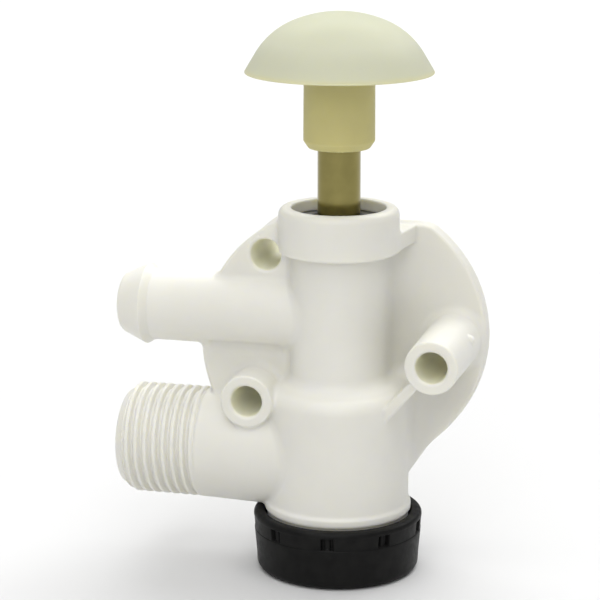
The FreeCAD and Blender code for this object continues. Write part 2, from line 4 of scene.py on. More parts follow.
import bpy
import numpy as np
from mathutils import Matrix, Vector


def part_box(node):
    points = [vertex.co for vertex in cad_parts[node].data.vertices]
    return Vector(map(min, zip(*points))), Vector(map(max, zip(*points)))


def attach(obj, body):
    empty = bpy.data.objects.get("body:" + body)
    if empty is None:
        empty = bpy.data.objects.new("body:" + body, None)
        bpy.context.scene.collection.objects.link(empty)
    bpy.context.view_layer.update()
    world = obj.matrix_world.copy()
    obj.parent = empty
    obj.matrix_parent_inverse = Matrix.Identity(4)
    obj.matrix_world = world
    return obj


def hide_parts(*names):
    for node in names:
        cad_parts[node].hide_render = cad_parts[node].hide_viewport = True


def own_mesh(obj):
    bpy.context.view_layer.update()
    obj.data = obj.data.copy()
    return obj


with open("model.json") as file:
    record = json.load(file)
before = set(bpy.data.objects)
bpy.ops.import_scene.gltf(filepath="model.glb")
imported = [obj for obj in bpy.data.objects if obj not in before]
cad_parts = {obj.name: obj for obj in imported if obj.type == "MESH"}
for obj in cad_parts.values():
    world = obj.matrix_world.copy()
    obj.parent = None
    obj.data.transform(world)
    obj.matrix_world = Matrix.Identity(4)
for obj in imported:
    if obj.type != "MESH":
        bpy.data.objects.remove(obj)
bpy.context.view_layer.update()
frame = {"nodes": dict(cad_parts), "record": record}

# Push-button water valve. Lengths are millimetres up to the point where a mesh is made, and MM turns
# them into metres. Z is the spindle axis, -X is the side of the two pipes, +Y is the back.
MM = 0.001


def mm_box(node):
    low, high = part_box(node)
    return np.array(low) / MM, np.array(high) / MM


BODY_LOW, BODY_HIGH = mm_box("valve_body")
_, CAP_HIGH = mm_box("end_cap")
BUTTON_LOW, BUTTON_HIGH = mm_box("push_button")
SPRING_LOW, SPRING_HIGH = mm_box("return_spring")

# Body column round the Z axis
BODY_R = 13.4
BODY_FOOT_Z = BODY_LOW[2]
BEAD_R = 13.85
BEAD_FOOT_Z = 11.6
BEAD_TOP_Z = 13.2
SHOULDER_TOP_Z = 36.0
SHOULDER_R = 3.1
NECK_R = 9.0
NECK_FOOT_FILLET = 2.6
COLLAR_R = 11.25
COLLAR_Z = 61.3
COLLAR_TOP_Z = BODY_HIGH[2]
COLLAR_TOP_EDGE = 1.4
COLLAR_FOOT_EDGE = 0.5
COLLAR_FILLET = 0.7
BEAD_EDGE = 0.35
BEAD_FILLET = 0.6
SPIGOT_TOP_Z = 9.8
SPIGOT_FOOT_EDGE = 0.4

# Screw thread between the body's spigot and the cap
SCREW_PITCH = 2.0
SCREW_OUTER_R = 13.1
SCREW_DEPTH = 0.62
SCREW_GAP = 0.12
SCREW_WALL_R = SCREW_OUTER_R + SCREW_GAP
SCREW_CREST = 0.2
SCREW_ROOT = 0.3
SCREW_FADE = 1.2

# Flange
FLANGE_R = BODY_HIGH[0]
FLANGE_Z = 43.2
FLANGE_BACK_Y = BODY_HIGH[1]
FLANGE_FACE_Y = 11.2
FLANGE_EDGE = 0.8
FLANGE_FLAT_TOP_Z = 64.8
BLOCK_FACE_Y = -2.4
TONGUE_SLOPE = ((10.0, 13.8), (15.6, 22.2))
TONGUE_CUT_Z = 30.0
TONGUE_FILLET = 0.5
OUTLINE_CORNER = 0.8
FLANGE_FILLET = 6.5
LEFT_CORE_SIDE = 12.0
BRIDGE_HALF = 11.05
BRIDGE_FACE_HALF = 12.6
BRIDGE_FOOT_Z = 61.5
WALL = 2.6
CORE_HALF = 6.0
CORE_Z = (37.5, 57.0)
CORE_FLOOR_Y = 9.4

# Pipes along X
INLET_Z = 22.45
INLET_END_X = -41.8
INLET_BORE_R = 7.2
INLET_R = 10.57
INLET_BASE_R = 10.9
INLET_BASE_X = -14.0
INLET_NOSE_R = 8.8
INLET_NOSE_SLOPE = 0.55
THREAD_ROOT_R = 9.78
THREAD_PITCH = 1.814
THREAD_FIRST_X = -39.35
THREAD_END_X = -25.9
THREAD_CREST_WIDTH = 0.5
THREAD_ROOT_WIDTH = 0.35
HOSE_Z = 49.08
HOSE_R = 6.82
HOSE_BORE_R = 4.6
HOSE_END_X = BODY_LOW[0]
HOSE_NOSE_R = 5.4
BARB_R = 7.7
BARB_X = -37.1
BARB_BACK_X = -35.7

# Screw holes, read from the record's mounts: X, Z, Y of the front end
HOLE_R = 2.95
BOSS_R = 5.0
HOLES = [(m["pos_m"][0] / MM, m["pos_m"][2] / MM, m["pos_m"][1] / MM)
         for m in frame["record"]["mounts"] if m["name"].startswith("screw_hole")]
RIB_THICK = 1.9
RIB_BODY = (8.5, 29.9)
RIB_BOSS = (20.0, 42.9)
RIB_FRONT_Y = (-7.6, -9.6)
RIB_EDGE = 0.3
RIB_FILLET = 0.5
BOSS_DRAFT = 0.012
BOSS_EDGE = 0.35
LEFT_BOSS_FILLET = 1.6
RIGHT_BOSS_FILLET = 1.8
HOLE_EDGE = 0.6

# Groove under the hose pipe: how far behind the block's face, radius, and the rest
GROOVE_DEPTH_Y = 1.3
GROOVE_CENTRE_Z = 42.0
GROOVE_RADIUS = 1.6
GROOVE_X = (-24.4, -10.0)

# Small round nub on the right boss, from the boss's axis
NUB_OFFSET = (4.4, 2.15)
NUB_Y = 3
NUB_R = 1.0
NUB_HALF = 0.7

# Bores of the column: radius, foot, top
CHAMBER_R = 10.2
CHAMBER_TOP_Z = 31.4
SEAT_R = 6.2
SEAT_LIP_R = 7.4
SEAT_Z = 30.6
UPPER_TOP_Z = 56.0
LEDGE_R = 4.6
LEDGE_Z = 57.2
BUSH_BORE_R = 6.4
RECESS_R = 8.75
RECESS_Z = 62.4
GROOVE_R = 9.6
GROOVE_Z = (66.4, 67.4)

# Push button
DOME_TOP_Z = BUTTON_HIGH[2]
DOME_CROWN_R = 22.4
DOME_CROWN_ANGLE = 0.40
DOME_SIDE_R = 14.4
DOME_SIDE_ANGLE = 1.06
DOME_RIM_R = BUTTON_HIGH[0]
DOME_RIM_Z = 94.6
DOME_THICK = 2.0
HUB_R = 6.62
HUB_FOOT_Z = BUTTON_LOW[2]
HUB_CHAMFER = 0.95
HUB_CHAMFER_HEIGHT = 1.4
SOCKET_R = 4.02
SOCKET_TOP_Z = 98.02

# Screw cap
CAP_R = CAP_HIGH[0]
CAP_TOP_Z = 11.4
CAP_EDGE = 0.9
CAP_FOOT_R = 15.3
CAP_FOOT_EDGE = 1.5
CAP_MOUTH_R = 14.0
CAP_FLOOR_Z = 2.6
PILLAR_R = 4.6
PILLAR_TOP_Z = CAP_HIGH[2]
NOTCHES = 9
NOTCH_FIRST_ANGLE = math.radians(-83.1)
NOTCH_Z = (7.9, 10.3)
NOTCH_WIDTH = 2.3
NOTCH_DEPTH = 0.45
SLOT_WIDTH = 0.65
SLOT_DEPTH = 0.55

# Return spring
SPRING_WIRE_R = 0.65
SPRING_MEAN_R = SPRING_HIGH[0] - SPRING_WIRE_R
SPRING_TURNS = 8
SPRING_CLOSED_TURNS = 0.9

VOXEL = 0.3
BODY_TRIANGLES = 190000


# ---------------------------------------------------------------- distance fields

def fillet_union(a, b, radius):
    """Union of two distance fields with a round fillet where they meet."""
    reach = np.hypot(np.maximum(radius - a, 0), np.maximum(radius - b, 0))
    return np.maximum(radius, np.minimum(a, b)) - reach


def rounded_common(a, b, radius):
    """Intersection of two distance fields with a round edge."""
    reach = np.hypot(np.maximum(radius + a, 0), np.maximum(radius + b, 0))
    return np.minimum(-radius, np.maximum(a, b)) + reach


def rounded_cut(a, b, radius):
    """Field a less field b, with a round edge."""
    return rounded_common(a, -b, radius)


def slab(outline, along, low, high, edge):
    """Distance to a flat outline extruded from low to high, with round edges."""
    side = outline + edge
    end = np.abs(along - (low + high) / 2) - (high - low) / 2 + edge
    outside = np.hypot(np.maximum(side, 0), np.maximum(end, 0))
    return np.minimum(np.maximum(side, end), 0) + outside - edge


def rod(across_a, across_b, along, radius, low, high, edge):
    return slab(np.hypot(across_a, across_b) - radius, along, low, high, edge)


def line_side(u, v, start, end):
    """Signed distance to the line from start to end, positive on its right."""
    du, dv = end[0] - start[0], end[1] - start[1]
    return ((u - start[0]) * dv - (v - start[1]) * du) / math.hypot(du, dv)


def smooth(t):
    t = np.clip(t, 0, 1)
    return t * t * (3 - 2 * t)


def thread_depth(turns, crest, root):
    """0 on the crest and 1 in the root of a thread, from the place along it in turns."""
    off_crest = np.abs((turns + 0.5) % 1 - 0.5)
    return smooth((off_crest - crest / 2) / (0.5 - crest / 2 - root / 2))


# ---------------------------------------------------------------- valve body

def column_field(x, y, z):
    """Lower body with its bead, shoulder, neck, collar and the screwed spigot."""
    lower = np.maximum(rod(x, y, z, BODY_R, 0, SHOULDER_TOP_Z, SHOULDER_R), SPIGOT_TOP_Z - z)
    bead = rod(x, y, z, BEAD_R, BEAD_FOOT_Z, BEAD_TOP_Z, BEAD_EDGE)
    lower = fillet_union(lower, bead, BEAD_FILLET)
    neck = rod(x, y, z, NECK_R, CHAMBER_TOP_Z - 8, COLLAR_TOP_Z - 2, 0.2)
    column = fillet_union(lower, neck, NECK_FOOT_FILLET)
    edge = np.where(z > (COLLAR_Z + COLLAR_TOP_Z) / 2, COLLAR_TOP_EDGE, COLLAR_FOOT_EDGE)
    collar = rod(x, y, z, COLLAR_R, COLLAR_Z, COLLAR_TOP_Z, edge)
    column = fillet_union(column, collar, COLLAR_FILLET)
    turns = z / SCREW_PITCH - np.arctan2(y, x) / (2 * math.pi)
    depth = thread_depth(turns, SCREW_CREST, SCREW_ROOT) * smooth((SPIGOT_TOP_Z - z) / SCREW_FADE)
    spigot = (np.hypot(x, y) - SCREW_OUTER_R + SCREW_DEPTH * depth) * 0.8
    spigot = np.maximum(rounded_common(spigot, BODY_FOOT_Z - z, SPIGOT_FOOT_EDGE), z - SPIGOT_TOP_Z - 1)
    return np.minimum(column, spigot)


def flange_field(x, y, z):
    """Round plate with its flat top and tongue, the thick block on its left, and their outline."""
    ring = np.hypot(x, z - FLANGE_Z) - FLANGE_R
    slope = line_side(np.abs(x), z, *TONGUE_SLOPE)
    tongue = rounded_common(slope, TONGUE_SLOPE[0][1] - z, OUTLINE_CORNER)
    tongue = np.maximum(tongue, z - TONGUE_CUT_Z)
    above = np.maximum(-x - COLLAR_R, FLANGE_FLAT_TOP_Z - z)
    outline = rounded_cut(fillet_union(ring, tongue, TONGUE_FILLET), above, OUTLINE_CORNER)
    far = FLANGE_BACK_Y + 4
    plate = slab(outline, y, FLANGE_FACE_Y, far, FLANGE_EDGE)
    left = np.maximum(np.maximum(rounded_cut(ring, above, OUTLINE_CORNER), x), INLET_Z - z)
    block = slab(left, y, BLOCK_FACE_Y, far, FLANGE_EDGE)
    return plate, block, outline


def hose_field(x, y, z):
    """Hose pipe and its barb."""
    share = np.clip((x - HOSE_END_X) / (BARB_X - HOSE_END_X), 0, 1)
    nose = HOSE_NOSE_R + (BARB_R - HOSE_NOSE_R) * share
    radius = np.where(x < BARB_X, nose, np.interp(x, (BARB_X, BARB_BACK_X), (BARB_R, HOSE_R)))
    side = np.hypot(y, z - HOSE_Z) - radius
    side = np.where(np.abs(x - (BARB_X + BARB_BACK_X) / 2) < 1.2, side * 0.85, side)
    return np.maximum(rounded_common(side, HOSE_END_X - x, 0.8), x)


def inlet_field(x, y, z):
    """Inlet pipe with its outside taper thread, cut off by a chamfer at the nose."""
    turns = (x - THREAD_FIRST_X) / THREAD_PITCH
    turns = turns - (np.arctan2(z - INLET_Z, y) - math.pi / 2) / (2 * math.pi)
    depth = thread_depth(turns, THREAD_CREST_WIDTH / THREAD_PITCH, THREAD_ROOT_WIDTH / THREAD_PITCH)
    depth = depth * smooth((THREAD_END_X - x) / 1.4 + 0.5)
    crest = np.interp(x, (THREAD_END_X, INLET_BASE_X), (INLET_R, INLET_BASE_R))
    nose_end = THREAD_FIRST_X - 1.0
    nose = INLET_NOSE_R + (x - INLET_END_X) * INLET_NOSE_SLOPE
    nose = nose + np.maximum(x - nose_end, 0) * 0.9
    radius = np.minimum(crest - depth * (INLET_R - THREAD_ROOT_R), nose)
    side = (np.hypot(y, z - INLET_Z) - radius) * np.where(x < THREAD_END_X, 0.75, 1.0)
    return np.maximum(rounded_common(side, INLET_END_X - x, 0.6), x)


def rib_field(x, y, z):
    """Flat rib from the right boss down to the shoulder, with a sloping front edge."""
    across = np.abs(line_side(x, z, RIB_BODY, RIB_BOSS)) - RIB_THICK / 2
    length = math.dist(RIB_BODY, RIB_BOSS)
    unit = ((RIB_BOSS[0] - RIB_BODY[0]) / length, (RIB_BOSS[1] - RIB_BODY[1]) / length)
    along = (x - RIB_BODY[0]) * unit[0] + (z - RIB_BODY[1]) * unit[1]
    front = RIB_FRONT_Y[0] + (RIB_FRONT_Y[1] - RIB_FRONT_Y[0]) * along / length
    rib = rounded_common(across, front - y, RIB_EDGE)
    return np.maximum(np.maximum(rib, np.abs(along - length / 2) - length / 2), y - FLANGE_FACE_Y - 1)


def boss_field(x, y, z, hole):
    """Boss round a screw hole, with a little draft."""
    centre_x, centre_z, front = hole
    radius = BOSS_R + BOSS_DRAFT * (y - front)
    return rod(x - centre_x, z - centre_z, y, radius, front, FLANGE_BACK_Y - 1, BOSS_EDGE)


def outside_field(x, y, z):
    """Everything solid before the body is bored."""
    plate, block, outline = flange_field(x, y, z)
    neck_web = np.maximum(np.abs(x) - NECK_R, z - BRIDGE_FOOT_Z - 1)
    lower_web = rounded_common(np.abs(x) - BODY_R, z - SHOULDER_TOP_Z, SHOULDER_R)
    webs = fillet_union(lower_web, neck_web, NECK_FOOT_FILLET)
    webs = np.maximum(webs, np.maximum(-y, y - FLANGE_FACE_Y - 2))
    support = rounded_common(fillet_union(webs, plate, FLANGE_FILLET), outline, 0.4)
    body = np.minimum(column_field(x, y, z), support)
    bridge = line_side(np.abs(x), y, (BRIDGE_HALF, 0), (BRIDGE_FACE_HALF, FLANGE_FACE_Y + 1))
    bridge = slab(np.maximum(np.maximum(bridge, -1 - y), y - FLANGE_FACE_Y - 1), z,
                  BRIDGE_FOOT_Z, FLANGE_FLAT_TOP_Z, 0.3)
    body = fillet_union(body, bridge, 0.5)
    left = fillet_union(block, hose_field(x, y, z), 1.0)
    groove = rod(y - BLOCK_FACE_Y + GROOVE_DEPTH_Y, z - GROOVE_CENTRE_Z, x, GROOVE_RADIUS, *GROOVE_X, 1.0)
    left = rounded_cut(left, groove, 0.4)
    lower_boss = next(h for h in HOLES if h[0] < 0 and h[1] < FLANGE_Z)
    left = fillet_union(left, boss_field(x, y, z, lower_boss), LEFT_BOSS_FILLET)
    body = fillet_union(body, left, 1.0)
    body = fillet_union(body, inlet_field(x, y, z), 0.8)
    right_boss = next(h for h in HOLES if h[0] > 0)
    body = fillet_union(body, boss_field(x, y, z, right_boss), RIGHT_BOSS_FILLET)
    body = fillet_union(body, rib_field(x, y, z), RIB_FILLET)
    body = rounded_cut(body, np.maximum(-outline, BODY_R + 1 - x), 0.4)
    nub = rod(x - right_boss[0] - NUB_OFFSET[0], z - right_boss[1] - NUB_OFFSET[1], y - NUB_Y,
              NUB_R, -NUB_HALF, NUB_HALF, 0.6)
    body = fillet_union(body, nub, 0.3)
    return rounded_cut(body, FLANGE_BACK_Y - y, 0.3)


def left_core_field(x, y, z):
    """Hollow of the left block, open at the back, round the pipes and bosses that cross it."""
    core = np.hypot(x, z - FLANGE_Z) - FLANGE_R + WALL
    core = rounded_common(core, x + LEFT_CORE_SIDE, 1.0)
    core = rounded_common(core, INLET_Z - z, 1.0)
    core = rounded_common(core, BLOCK_FACE_Y + WALL - y, 0.8)
    core = rounded_cut(core, np.hypot(y, z - HOSE_Z) - HOSE_R, 0.6)
    core = rounded_cut(core, np.hypot(y, z - INLET_Z) - INLET_BASE_R, 0.6)
    for centre_x, centre_z, _ in HOLES:
        core = rounded_cut(core, np.hypot(x - centre_x, z - centre_z) - BOSS_R, 0.6)
    return core


def bored(body, x, y, z):
    """The outside less its bores, gland recess, screw holes and cores."""
    radius = np.hypot(x, y)
    ring = np.maximum(np.abs(radius - (SEAT_R + SEAT_LIP_R) / 2) - (SEAT_LIP_R - SEAT_R) / 2, SEAT_Z - z)
    chamber = np.maximum(rounded_common(radius - CHAMBER_R, z - CHAMBER_TOP_Z, 0.3), -ring)
    body = rounded_cut(body, chamber, 0.2)
    upper = np.maximum(rod(x, y, z, SEAT_R, SEAT_Z - 4, UPPER_TOP_Z, 0.3), SEAT_Z - 2 - z)
    body = rounded_cut(body, upper, 0.15)
    body = rounded_cut(body, rod(x, y, z, LEDGE_R, UPPER_TOP_Z - 1, LEDGE_Z + 1, 0.0), 0.1)
    body = rounded_cut(body, rod(x, y, z, BUSH_BORE_R, LEDGE_Z, RECESS_Z + 2, 0.1), 0.1)
    body = rounded_cut(body, rod(x, y, z, GROOVE_R, GROOVE_Z[0], GROOVE_Z[1], 0.05), 0.05)
    body = rounded_cut(body, rod(x, y, z, RECESS_R, RECESS_Z, COLLAR_TOP_Z + 5, 0.1), 0.4)
    inlet = np.maximum(np.hypot(y, z - INLET_Z) - INLET_BORE_R, x + CHAMBER_R - 2)
    body = rounded_cut(body, inlet, 0.5)
    hose = np.maximum(np.hypot(y, z - HOSE_Z) - HOSE_BORE_R, x)
    body = rounded_cut(body, hose, 0.4)
    for centre_x, centre_z, _ in HOLES:
        hole = np.hypot(x - centre_x, z - centre_z) - HOLE_R
        if centre_z > HOSE_Z:  # this hole grazes the collar, which stays whole
            hole = np.maximum(hole, -column_field(x, y, z))
        body = rounded_cut(body, hole, HOLE_EDGE)
    body = rounded_cut(body, left_core_field(x, y, z), 0.3)
    core = np.maximum(np.abs(x) - CORE_HALF, np.abs(z - sum(CORE_Z) / 2) - (CORE_Z[1] - CORE_Z[0]) / 2)
    core = slab(core, y, CORE_FLOOR_Y, FLANGE_BACK_Y + 4, 0.8)
    return rounded_cut(body, core, 0.3)


def body_field(x, y, z):
    return bored(outside_field(x, y, z), x, y, z)


# ---------------------------------------------------------------- meshing

def sampled(field, low, high, step):
    """Field values on a grid, made slab by slab."""
    axes = [np.arange(low[k], high[k] + step, step, dtype=np.float32) for k in range(3)]
    y, z = np.meshgrid(axes[1], axes[2], indexing="ij")
    values = np.empty((len(axes[0]),) + y.shape, np.float32)
    for i, x in enumerate(axes[0]):
        values[i] = field(np.full_like(y, x), y, z)
    return values, axes


def surface_net(values, axes):
    """Quads of the zero surface, one vertex in each grid cell that the surface crosses."""
    inside = values < 0
    count = sum(inside[a:a + inside.shape[0] - 1, b:b + inside.shape[1] - 1, c:c + inside.shape[2] - 1]
                .astype(np.int8) for a in (0, 1) for b in (0, 1) for c in (0, 1))
    cells = np.argwhere((count > 0) & (count < 8))
    index = np.full(count.shape, -1, np.int64)
    index[tuple(cells.T)] = np.arange(len(cells))
    total = np.zeros((len(cells), 3))
    crossings = np.zeros(len(cells))
    corners = [np.array(c) for c in np.ndindex(2, 2, 2)]
    for start in corners:
        for axis in range(3):
            if start[axis]:
                continue
            end = start + np.eye(3, dtype=int)[axis]
            a = values[tuple((cells + start).T)]
            b = values[tuple((cells + end).T)]
            hit = (a < 0) != (b < 0)
            share = np.where(hit, a / np.where(hit, a - b, 1), 0)
            place = start + np.zeros((len(cells), 3))
            place[:, axis] += share
            total[hit] += place[hit]
            crossings[hit] += 1
    step = axes[0][1] - axes[0][0]
    vertices = np.array([a[0] for a in axes]) + (cells + total / crossings[:, None]) * step
    faces = []
    for axis in range(3):
        near = [slice(None)] * 3
        far = [slice(None)] * 3
        near[axis], far[axis] = slice(0, -1), slice(1, None)
        low_inside, high_inside = inside[tuple(near)], inside[tuple(far)]
        edges = np.argwhere(low_inside != high_inside)
        u, v = (axis + 1) % 3, (axis + 2) % 3
        edges = edges[(edges[:, u] > 0) & (edges[:, v] > 0)
                      & (edges[:, u] < inside.shape[u] - 1) & (edges[:, v] < inside.shape[v] - 1)]
        ring = []
        for du, dv in ((1, 1), (0, 1), (0, 0), (1, 0)):
            cell = edges.copy()
            cell[:, u] -= du
            cell[:, v] -= dv
            ring.append(index[tuple(cell.T)])
        quads = np.stack(ring, 1)
        outward = low_inside[tuple(edges.T)]
        quads[~outward] = quads[~outward][:, ::-1]
        faces.append(quads)
    return vertices, np.concatenate(faces)


def gradient(field, points):
    """Unit normals of a field at points, and the field's slope there."""
    reach = 0.02
    slope = np.empty_like(points)
    for k in range(3):
        step = np.zeros(3)
        step[k] = reach
        ahead, behind = points + step, points - step
        slope[:, k] = (field(*ahead.T) - field(*behind.T)) / (2 * reach)
    size = np.linalg.norm(slope, axis=1)
    return slope / np.maximum(size, 1e-6)[:, None], np.maximum(size, 0.3)


def settled(field, points, rounds, limit):
    """Points moved on to the field's zero surface, none further than a limit."""
    start = points.copy()
    for _ in range(rounds):
        normal, size = gradient(field, points)
        away = np.clip(field(*points.T) / size, -limit, limit)
        points = points - normal * away[:, None]
        points = start + np.clip(points - start, -limit, limit)
    return points


def mesh_object(name, vertices, faces):
    """Object from vertices in millimetres."""
    mesh = bpy.data.meshes.new(name)
    mesh.from_pydata((np.asarray(vertices) * MM).tolist(), [], [list(f) for f in faces])
    mesh.validate()
    mesh.polygons.foreach_set("use_smooth", [True] * len(mesh.polygons))
    piece = bpy.data.objects.new(name, mesh)
    bpy.context.scene.collection.objects.link(piece)
    return piece


def vertex_array(mesh):
    flat = np.empty(len(mesh.vertices) * 3)
    mesh.vertices.foreach_get("co", flat)
    return flat.reshape(-1, 3) / MM


def field_object(name, field, low, high, step, triangles):
    """Closed mesh of a field's surface, thinned out where it is flat, with the field's own normals."""
    values, axes = sampled(field, low, high, step)
    vertices, faces = surface_net(values, axes)
    piece = mesh_object(name, settled(field, vertices, 2, step / 2), faces)
    thin = piece.modifiers.new("thin_out", "DECIMATE")
    thin.ratio = min(1.0, triangles / (2 * len(faces)))
    graph = bpy.context.evaluated_depsgraph_get()
    mesh = bpy.data.meshes.new_from_object(piece.evaluated_get(graph))
    piece.modifiers.clear()
    piece.data = mesh
    points = settled(field, vertex_array(mesh), 2, step / 2)
    mesh.vertices.foreach_set("co", (points * MM).ravel())
    mesh.polygons.foreach_set("use_smooth", [True] * len(mesh.polygons))
    normals, _ = gradient(field, points)
    mesh.normals_split_custom_set_from_vertices(normals.tolist())
    mesh.update()
    return piece


# ---------------------------------------------------------------- turned pieces

def rounded_outline(corners):
    """Outline points from (radius, z, rounding) corners, each rounding as an arc."""
    steps = 6
    points = []
    for k, (r, z, rounding) in enumerate(corners):
        here = np.array((r, z), float)
        if not rounding:
            points.append(here)
            continue
        before = np.array(corners[k - 1][:2]) - here
        after = np.array(corners[(k + 1) % len(corners)][:2]) - here
        before = before / np.linalg.norm(before)
        after = after / np.linalg.norm(after)
        half = math.acos(np.clip(before @ after, -1, 1)) / 2
        run = rounding / math.tan(half)
        middle = before + after
        centre = here + middle / np.linalg.norm(middle) * rounding / math.sin(half)
        start, end = here + before * run - centre, here + after * run - centre
        angle = math.acos(np.clip(start @ end / rounding ** 2, -1, 1))
        for i in range(steps + 1):
            share = i / steps
            weight_a = math.sin((1 - share) * angle) / math.sin(angle)
            weight_b = math.sin(share * angle) / math.sin(angle)
            points.append(centre + start * weight_a + end * weight_b)
    return points


def turned_object(name, outline, segments, shape=None):
    """Outline of (radius, z) turned round Z. A point on the axis is one vertex. shape(angle, k) may
    give the radius another value at an angle and outline point."""
    angles = segments if np.ndim(segments) else np.arange(segments) * 2 * math.pi / segments
    count = len(angles)
    vertices, rows = [], []
    for k, (r, z) in enumerate(outline):
        if r < 1e-6:
            rows.append([len(vertices)] * count)
            vertices.append((0, 0, z))
            continue
        rows.append(list(range(len(vertices), len(vertices) + count)))
        for a in angles:
            radius = shape(a, k) if shape else r
            vertices.append((radius * math.cos(a), radius * math.sin(a), z))
    faces = []
    for here, there in zip(rows, rows[1:]):
        for i in range(count):
            j = (i + 1) % count
            face = list(dict.fromkeys((here[i], here[j], there[j], there[i])))
            if len(face) > 2:
                faces.append(face)
    return mesh_object(name, vertices, faces)


def dome_arcs(thickness):
    """Crown arc and side arc of the mushroom head, moved inwards by a thickness."""
    steps = 14
    shift = DOME_CROWN_R - DOME_SIDE_R
    crown_z = DOME_TOP_Z - DOME_CROWN_R
    side_r = shift * math.sin(DOME_CROWN_ANGLE)
    side_z = crown_z + shift * math.cos(DOME_CROWN_ANGLE)
    crown = [k * DOME_CROWN_ANGLE / steps for k in range(steps)]
    side = [DOME_CROWN_ANGLE + k * (DOME_SIDE_ANGLE - DOME_CROWN_ANGLE) / steps for k in range(steps + 1)]
    reach = DOME_CROWN_R - thickness
    points = [(reach * math.sin(a), crown_z + reach * math.cos(a)) for a in crown]
    reach = DOME_SIDE_R - thickness
    return points + [(side_r + reach * math.sin(a), side_z + reach * math.cos(a)) for a in side]


def make_push_button():
    """Mushroom head with a thin rim, its hub, and the blind socket that the spindle is pressed in."""
    outer = dome_arcs(0)
    inner = dome_arcs(DOME_THICK)
    junction_z = DOME_TOP_Z - DOME_CROWN_R + math.sqrt((DOME_CROWN_R - DOME_THICK) ** 2 - HUB_R ** 2)
    rim = rounded_outline([(*outer[-1], 0), (DOME_RIM_R, DOME_RIM_Z, 0.2),
                           (DOME_RIM_R - DOME_THICK, DOME_RIM_Z, 0.4), (*inner[-1], 0)])
    under = [point for point in reversed(inner) if point[0] > HUB_R + 1.6]
    hub = rounded_outline([(*under[-1], 0), (HUB_R - 0.1, junction_z, 1.0),
                           (HUB_R, HUB_FOOT_Z + HUB_CHAMFER_HEIGHT, 0.5),
                           (HUB_R - HUB_CHAMFER, HUB_FOOT_Z, 0.5), (SOCKET_R, HUB_FOOT_Z, 0.25),
                           (SOCKET_R, SOCKET_TOP_Z, 0.3), (0, SOCKET_TOP_Z, 0)])
    outline = outer[:-1] + rim[:-1] + under[:-1] + hub
    piece = turned_object("button_moulding", outline, 144)
    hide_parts("push_button")
    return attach(piece, "plunger")


def band(value, centre, width, softness):
    """1 inside a band of a width and 0 outside it, with soft edges."""
    return float(smooth((width / 2 - abs(value - centre)) / softness + 0.5))


def cap_outline():
    """Closed (radius, z) outline of the screw cap, and for each point the face that it is on."""
    lean = (CAP_R - CAP_FOOT_R) / (CAP_TOP_Z - CAP_EDGE - CAP_FOOT_EDGE)

    def side(z):
        return CAP_FOOT_R + lean * (z - CAP_FOOT_EDGE)

    step_z = NOTCH_Z[0] - 0.1
    foot = rounded_outline([(0, 0.35, 0), (9.5, 0.35, 0.3), (10.2, 0, 0.3),
                            (CAP_FOOT_R, 0, CAP_FOOT_EDGE), (side(3), 3, 0), (side(3), 3.1, 0)])[:-1]
    lower = [(side(z), z) for z in np.linspace(3.5, step_z - 0.1, 8)]
    ledge = [(side(step_z) - 0.02, step_z), (side(step_z) - 0.12, step_z + 0.06)]
    notched = [(side(z) - 0.1, z) for z in np.linspace(NOTCH_Z[0], NOTCH_Z[1], 22)]
    top = rounded_outline([(side(NOTCH_Z[1]) - 0.08, NOTCH_Z[1] + 0.06, 0),
                           (CAP_R - 0.05, CAP_TOP_Z, CAP_EDGE),
                           (CAP_MOUTH_R, CAP_TOP_Z, 0.25), (CAP_MOUTH_R, 10.2, 0.1),
                           (SCREW_WALL_R, 9.4, 0.1), (SCREW_WALL_R, 9.2, 0)])
    thread = [(SCREW_WALL_R, z) for z in np.linspace(9.0, 3.7, 46)]
    inside = rounded_outline([(SCREW_WALL_R, 3.4, 0), (SCREW_WALL_R, CAP_FLOOR_Z, 0.2),
                              (PILLAR_R, CAP_FLOOR_Z, 0.5), (PILLAR_R, PILLAR_TOP_Z, 0.6),
                              (0, PILLAR_TOP_Z, 0)])
    parts = [("plain", foot + lower + ledge), ("notched", notched), ("plain", top), ("thread", thread),
             ("plain", inside)]
    outline = [point for _, points in parts for point in points]
    return outline, [face for face, points in parts for _ in points]


def make_end_cap():
    """Screw cap with grip notches below its upper edge and the thread inside its wall."""
    outline, faces = cap_outline()
    spread = math.radians(5.5)
    notch_angles = [NOTCH_FIRST_ANGLE + k * 2 * math.pi / NOTCHES for k in range(NOTCHES)]
    angles = []
    for centre in notch_angles:
        angles += [centre + spread * share for share in np.linspace(-1, 1, 37)]
        angles += [centre + spread + (2 * math.pi / NOTCHES - 2 * spread) * share / 12
                   for share in range(1, 12)]

    def shape(angle, k):
        radius, z = outline[k]
        if faces[k] == "notched":
            off = min((math.remainder(angle - a, 2 * math.pi) for a in notch_angles), key=abs) * radius
            high = band(z, sum(NOTCH_Z) / 2, NOTCH_Z[1] - NOTCH_Z[0] - 0.2, 0.16)
            recess = NOTCH_DEPTH * band(off, 0, NOTCH_WIDTH, 0.16)
            slots = SLOT_DEPTH * band(abs(off), (NOTCH_WIDTH - SLOT_WIDTH) / 2, SLOT_WIDTH, 0.16)
            radius -= high * (recess + slots)
        if faces[k] == "thread":
            turns = z / SCREW_PITCH - angle / (2 * math.pi)
            ridge = float(thread_depth(np.float64(turns), SCREW_CREST + 0.12, SCREW_ROOT - 0.12))
            inside_ends = float(smooth((SPIGOT_TOP_Z - 1 - z) / SCREW_FADE) * smooth((z - 3.9) / 0.6))
            radius -= SCREW_DEPTH * ridge * inside_ends
        return radius

    piece = turned_object("screw_cap", outline, np.array(angles), shape=shape)
    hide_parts("end_cap")
    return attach(piece, "cap")


